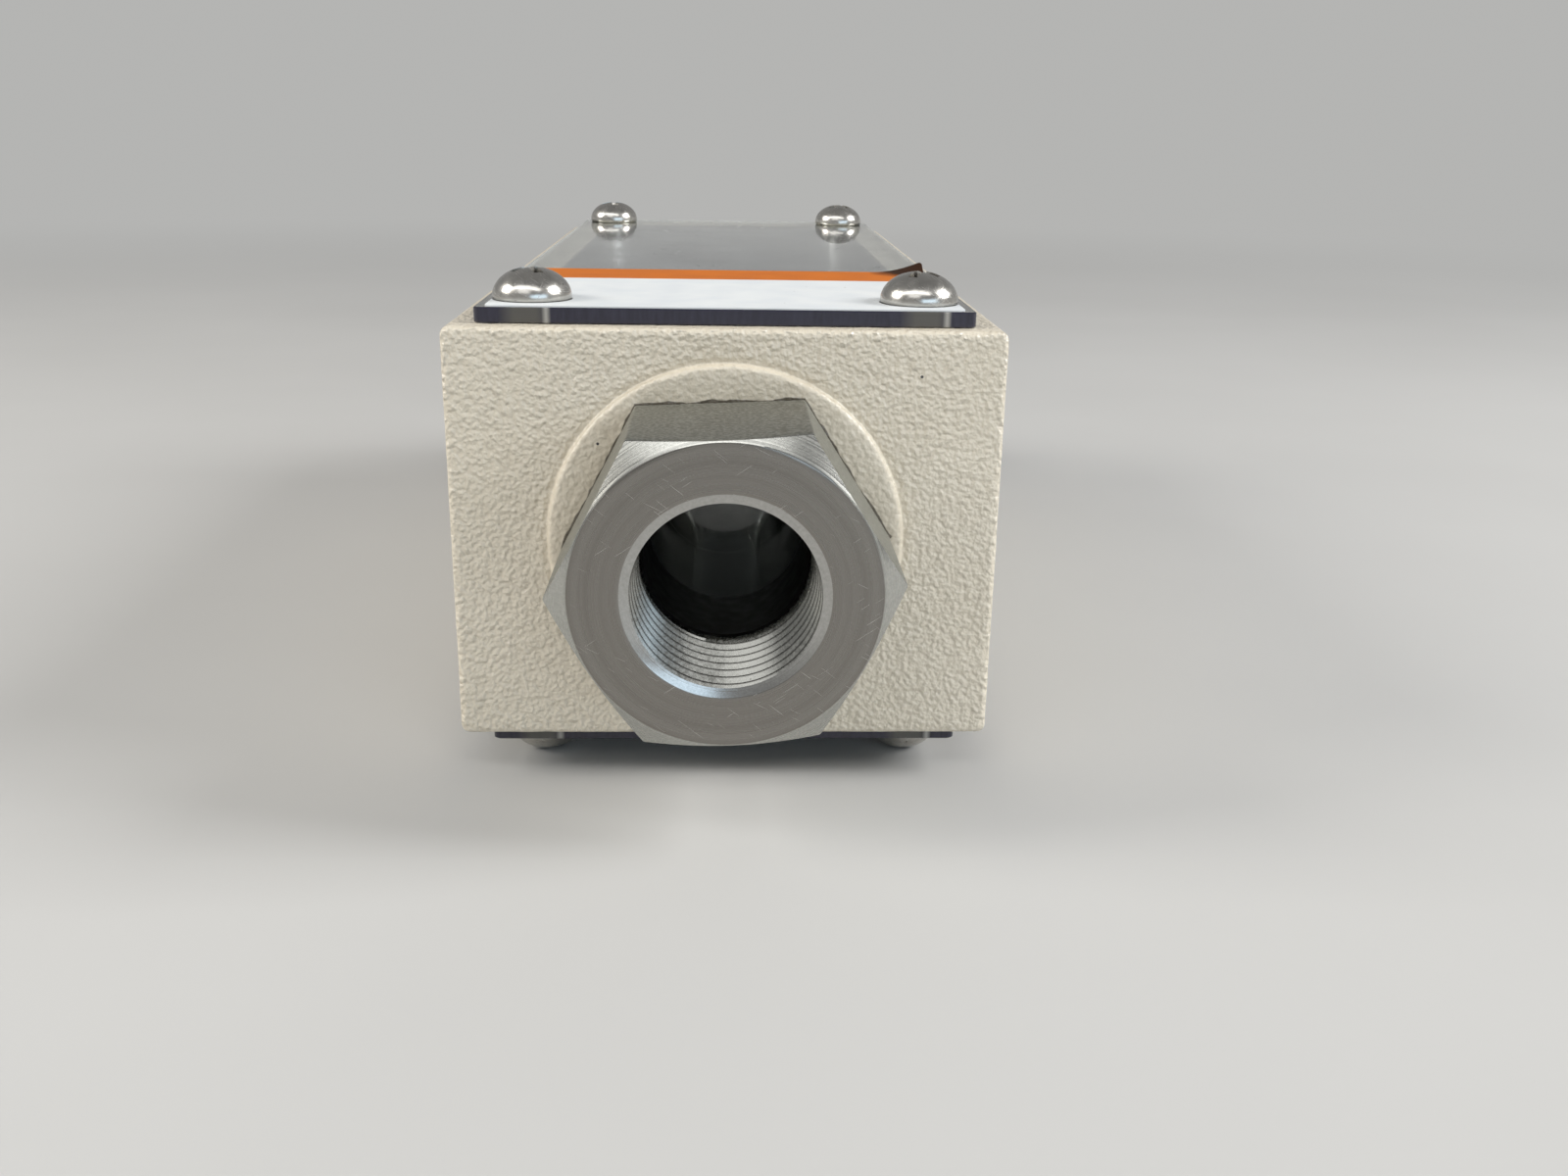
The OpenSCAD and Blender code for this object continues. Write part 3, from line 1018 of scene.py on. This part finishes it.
def cut_sheet_edge():
    material, shader, spot = new_material("cut_sheet_edge", IOR=1.58)
    at = parts_of(spot)
    saw = noise(vector_node("MULTIPLY", spot, (1, 1, 0.15)), 0.5 * mm, 3.0)
    # The cut edge is painted an opaque dark navy, standing in for the light trapped in the clear sheet.
    colour = blend(spread(saw), (0.017, 0.016, 0.030), (0.026, 0.025, 0.045))
    ends = math_node("GREATER_THAN", math_node("ABSOLUTE", at["Y"]), screw_y)
    # Near each screw the edge gets a lighter patch, a painted reflection of the screw shank seen through
    # the sheet, and a bright painted glint beside it.
    glint_x = 2.3 * mm
    for x in (-screw_x, screw_x):
        for centre, inner, outer, light in (
            (x, 1.2 * mm, 2.9 * mm, (0.105, 0.10, 0.085)),
            (x + glint_x, 0.05 * mm, 0.5 * mm, (0.42, 0.41, 0.38)),
        ):
            near = math_node("ABSOLUTE", minus(at["X"], centre))
            colour = blend(times(spread(near, 0.8, 0.0, inner, outer), ends), colour, light)
    # Faces seen from inside the sheet are painted light grey, a painted light band at its far edge.
    inside = place(material.node_tree, "ShaderNodeNewGeometry").outputs["Backfacing"]
    colour = blend(inside, colour, (0.5, 0.5, 0.48))
    feed(shader, Base_Color=colour, Roughness=spread(saw, 0.16, 0.26))
    bump(shader, saw, 0.012 * mm)
    return material


def make_shield(name, low, high, materials):
    shape, holes = bmesh.new(), bmesh.new()
    rings = []
    heights = (low.z, low.z + shield_bevel, high.z - shield_bevel, high.z)
    for z, inset in zip(heights, (shield_bevel, 0, 0, shield_bevel)):
        outline = round_rect(high.x - inset, high.y - inset, shield_corner_r, 6)
        rings.append([(x, y, z) for x, y in outline])
    skin(shape, rings)
    for x, y in screw_places:
        add_pin(holes, x, y, [(clearance_r, z) for z in (low.z - 1 * mm, high.z + 1 * mm)], 40)
    shield = new_piece(name, shape, *materials)
    cut(shield, new_piece("hole_cutter", holes, materials[1]))
    for face in shield.data.polygons:
        face.material_index = 0 if abs(face.normal.z) > 0.9 else 1
    smooth(shield.data, 25)
    return shield


sheet_finishes = (clear_sheet(), cut_sheet_edge())
for face in ("top", "bottom"):
    low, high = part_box(f"{face}_shield")
    shield = make_shield(f"clear_shield_{face}", low, high, sheet_finishes)
    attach(shield, "root")
    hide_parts(f"{face}_shield")


# ---- Label ----
# Blank printed film, white with one plain orange band, stuck on the shield's inlet end
# round the screw heads. One corner has lifted, and the film is painted dark brown towards it.
label_low, label_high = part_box("label")
label_t = 0.16 * mm
label_corner_r = 0.9 * mm
band_l = 11.5 * mm
lift_r = 6.5 * mm
lift_h = 1.6 * mm
curl_back = 0.9 * mm
ripple_x, ripple_y, ripple_h = 3.1 * mm, 4.3 * mm, 0.012 * mm
head_r = 4.425 * mm


def printed_film():
    material, shader, spot = new_material("printed_film", IOR=1.4, Specular_IOR_Level=0.2)
    soil = noise(spot, 5 * mm, 4.0)
    soiled = spread(soil)
    white = blend(soiled, (0.68, 0.71, 0.73), (0.75, 0.77, 0.77))
    orange = blend(soiled, (0.52, 0.14, 0.018), (0.60, 0.17, 0.025))
    ragged = times(minus(noise(spot, 0.8 * mm), 0.5), 0.12 * mm)
    in_band = math_node("GREATER_THAN", plus(parts_of(spot)["Y"], ragged), label_high.y - band_l)
    colour = blend(in_band, white, orange)
    # The film is painted dark brown towards the lifted corner.
    from_corner = plus(vector_node("DISTANCE", spot, tuple(label_high)), times(soil, 4 * mm))
    darker_near_lift = spread(from_corner, 1.0, 0.0, lift_r, lift_r + 3 * mm)
    colour = blend(darker_near_lift, colour, (0.035, 0.014, 0.006))
    dust = group_mask(specks, spot, spacing=1.6 * mm, radius=0.16 * mm, share=0.12)
    colour = blend(dust, colour, (0.25, 0.23, 0.2))
    feed(shader, Base_Color=colour, Roughness=spread(soil, 0.6, 0.75))
    bump(shader, noise(spot, 1.6 * mm), 0.03 * mm)
    return material


def make_label():
    film = printed_film()
    centre_y = (label_low.y + label_high.y) / 2
    half_x, half_y = label_high.x, (label_high.y - label_low.y) / 2
    cell = 0.6 * mm
    gap = 0.08 * mm
    over = 1 * mm
    shape, outline, holes = bmesh.new(), bmesh.new(), bmesh.new()
    columns, rows = round(2 * half_x / cell) + 4, round(2 * half_y / cell) + 4
    bmesh.ops.create_grid(shape, x_segments=columns, y_segments=rows, size=0.5)
    for vert in shape.verts:
        vert.co.x *= columns * cell
        vert.co.y = centre_y + vert.co.y * rows * cell
        vert.co.z = label_low.z + 0.01 * mm
    top = bmesh.ops.extrude_face_region(shape, geom=shape.faces[:])
    lifted = [part for part in top["geom"] if isinstance(part, bmesh.types.BMVert)]
    bmesh.ops.translate(shape, verts=lifted, vec=(0, 0, label_t))
    label = new_piece("blank_label", shape, film)
    points = round_rect(half_x, half_y, label_corner_r)
    heights = (label_low.z - over, label_high.z + over)
    skin(outline, [[(x, centre_y + y, z) for x, y in points] for z in heights])
    cut(label, new_piece("label_cutter", outline, film), "INTERSECT")
    for x, y in screw_places[:2]:
        add_pin(holes, x, y, [(head_r + gap, z) for z in heights], 48)
    cut(label, new_piece("hole_cutter", holes, film))
    corner = Vector((half_x, label_high.y))
    for vert in label.data.vertices:
        reach = max(1 - (vert.co.xy - corner).length / lift_r, 0)
        vert.co.z += lift_h * reach * reach
        vert.co.y -= curl_back * reach * reach
        ripple = math.sin(vert.co.x / ripple_x) * math.sin(vert.co.y / ripple_y)
        vert.co.z += ripple_h * (1 + ripple)
    smooth(label.data, 40)
    return label


label = make_label()
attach(label, "root")
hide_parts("label")


# ---- Shield screws ----
# Bright stainless screws with round heads and cross recesses, four through each shield
# into tapped holes in the housing. One screw is made and set at the eight places.
head_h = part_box("top_screw_1")[1].z - shield_high.z
shank_r = 2.4 * mm
core_r = 1.95 * mm
screw_l = 12.7 * mm
screw_pitch = 25.4 / 32 * mm


def bright_steel():
    material, shader, spot = new_material("bright_steel", Metallic=1.0)
    cloud = noise(spot, 1.2 * mm, 3.0)
    colour = blend(spread(cloud), (0.50, 0.485, 0.45), (0.60, 0.58, 0.54))
    pits = group_mask(specks, spot, spacing=1.3 * mm, radius=0.16 * mm, share=0.3)
    colour = blend(pits, colour, (0.12, 0.10, 0.08))
    # Painted shade: the stored recess value darkens the cross recess towards its bottom, and the head's
    # base where it sits on the shield, as shade and some grime.
    colour = blend(stored(shader, "recess"), colour, (0.07, 0.062, 0.05))
    scratches = group_mask(fine_scratches, spot, length=1.2 * mm, width=0.06 * mm, amount=0.08)
    feed(shader, Base_Color=colour, Roughness=plus(spread(cloud, 0.18, 0.28), times(scratches, 0.12)))
    bump(shader, cloud, 0.02 * mm)
    return material


def recess_wing(turn):
    """One blade of the cross recess, tapered downwards, with a turn about the screw's axis."""
    shape = bmesh.new()
    rings = []
    cos, sin = math.cos(turn), math.sin(turn)
    for depth, half_l, half_t in ((-1.0, 2.9, 0.62), (0.9, 2.1, 0.5), (2.3, 0.9, 0.34)):
        corners = [(half_l * x * mm, half_t * z * mm) for x, z in quadrants]
        y = head_h - depth * mm
        rings.append([(x * cos - z * sin, y, x * sin + z * cos) for x, z in corners])
    skin(shape, rings)
    return new_piece("wing_cutter", shape, steel)


def make_screw():
    """A round-head screw standing on its head's seat at y = 0, with its head towards +Y."""
    rim_h = 0.5 * mm
    dome_h = head_h - rim_h
    profile = [(0.3 * mm, head_h - 0.01 * mm)]
    profile += [(head_r * x, rim_h + dome_h * y) for x, y in arc((0, 0), 1, 84, 0, 14)]
    profile += [(head_r - 0.02 * mm, 0.3 * mm), (head_r - 0.1 * mm, 0.1 * mm), (head_r - 0.3 * mm, 0.0)]
    profile += [(shank_r + 0.2 * mm, 0.0), (shank_r, -0.2 * mm)]
    shape = bmesh.new()
    count = 56
    angles = np.arange(count) * 2 * math.pi / count

    def place_at(angle, y, radius=shank_r):
        return (-radius * math.cos(angle), y, radius * math.sin(angle))

    def turned(rings, capped):
        rings = [[place_at(angle, y, radius) for angle in angles] for radius, y in rings]
        skin(shape, rings, capped=False)
        shape.faces.new([shape.verts.new(point) for point in rings[capped]])

    thread_high, thread_low = -0.4 * mm, 0.9 * mm - screw_l
    turned(profile + [(shank_r, thread_high)], 0)
    turned([
        (shank_r, thread_low), (core_r - 0.1 * mm, 0.5 * mm - screw_l),
        (1.5 * mm, -screw_l), (0.4 * mm, -screw_l),
    ], -1)
    thread_shares = (0, 0.08, 0.44, 0.56, 0.92, 1)
    wind_thread(shape, angles, thread_low, thread_high, screw_pitch, 0.0, thread_shares, place_at)
    screw = new_piece("screw", shape, steel)
    grow(
        screw, cut_thread, radius=shank_r, depth=core_r - shank_r, pitch=screw_pitch, start=0.0,
        crest=0.42, root=0.06, low=thread_low, high=thread_high,
        run_in=screw_pitch / 4, run_out=screw_pitch * 2, side=1.0, finish=steel,
    )
    for turn in (0, math.pi / 2):
        cut(screw, recess_wing(turn))
    # Painted shade: the recess value grows down into the cross recess, and towards the head's base on the
    # shield, which is shade and grime.
    under_dome, beside_seat = 0.5 * mm, 0.45 * mm
    sunk = []
    for vert in screw.data.vertices:
        r = math.hypot(vert.co.x, vert.co.z)
        dome = rim_h + dome_h * math.sqrt(max(0, 1 - (r / head_r) ** 2))
        in_recess = (dome - vert.co.y) / under_dome if vert.co.y > 0.6 * mm else 0
        at_seat = 0.8 - vert.co.y / beside_seat if r > shank_r + 0.5 * mm else 0
        sunk.append(min(max(in_recess, at_seat, 0), 1))
    screw.data.attributes.new("recess", "FLOAT", "POINT").data.foreach_set("value", sunk)
    smooth(screw.data, 40)
    return screw


def screw_setter():
    """Sets a screw on each point, turned as the point's seat_turn says."""
    tree, given, end = geometry_tree("set_screws", Screw="Object")
    turn = place(tree, "GeometryNodeInputNamedAttribute", {"Name": "seat_turn"}, data_type="FLOAT_VECTOR")
    screw = place(tree, "GeometryNodeObjectInfo", {"Object": given["Screw"]})
    rotation = place(tree, "FunctionNodeEulerToRotation", {0: turn.outputs["Attribute"]})
    screws = place(
        tree, "GeometryNodeInstanceOnPoints",
        {"Points": given["Geometry"], "Instance": screw.outputs["Geometry"],
         "Rotation": rotation.outputs[0]},
    )
    close_tree(tree, end, screws.outputs[0], given["Finish"])
    return tree


def make_screws():
    recess_turns = (28, 62, 12, 47)
    points, seat_turns = [], []
    for face in (1, -1):
        for (x, y), turn in zip(screw_places, recess_turns):
            points.append((x, y, face * shield_high.z))
            seat_turns.append((face * math.pi / 2, 0, face * math.radians(turn)))
    mesh = bpy.data.meshes.new("shield_screws")
    mesh.from_pydata(points, [], [])
    layer = mesh.attributes.new("seat_turn", "FLOAT_VECTOR", "POINT")
    layer.data.foreach_set("vector", np.array(seat_turns, np.float32).ravel())
    screws = put_in_scene("shield_screws", mesh)
    pattern = make_screw()
    grow(screws, screw_setter(), screw=pattern, finish=steel)
    bpy.data.objects.remove(pattern)
    return screws


steel = bright_steel()
screws = make_screws()
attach(screws, "root")
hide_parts(*[f"{face}_screw_{number}" for face in ("top", "bottom") for number in (1, 2, 3, 4)])


# ---- Size ----
# The box round the finished pieces is found, in metres, as the CAD's box was at the start.
low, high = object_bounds()
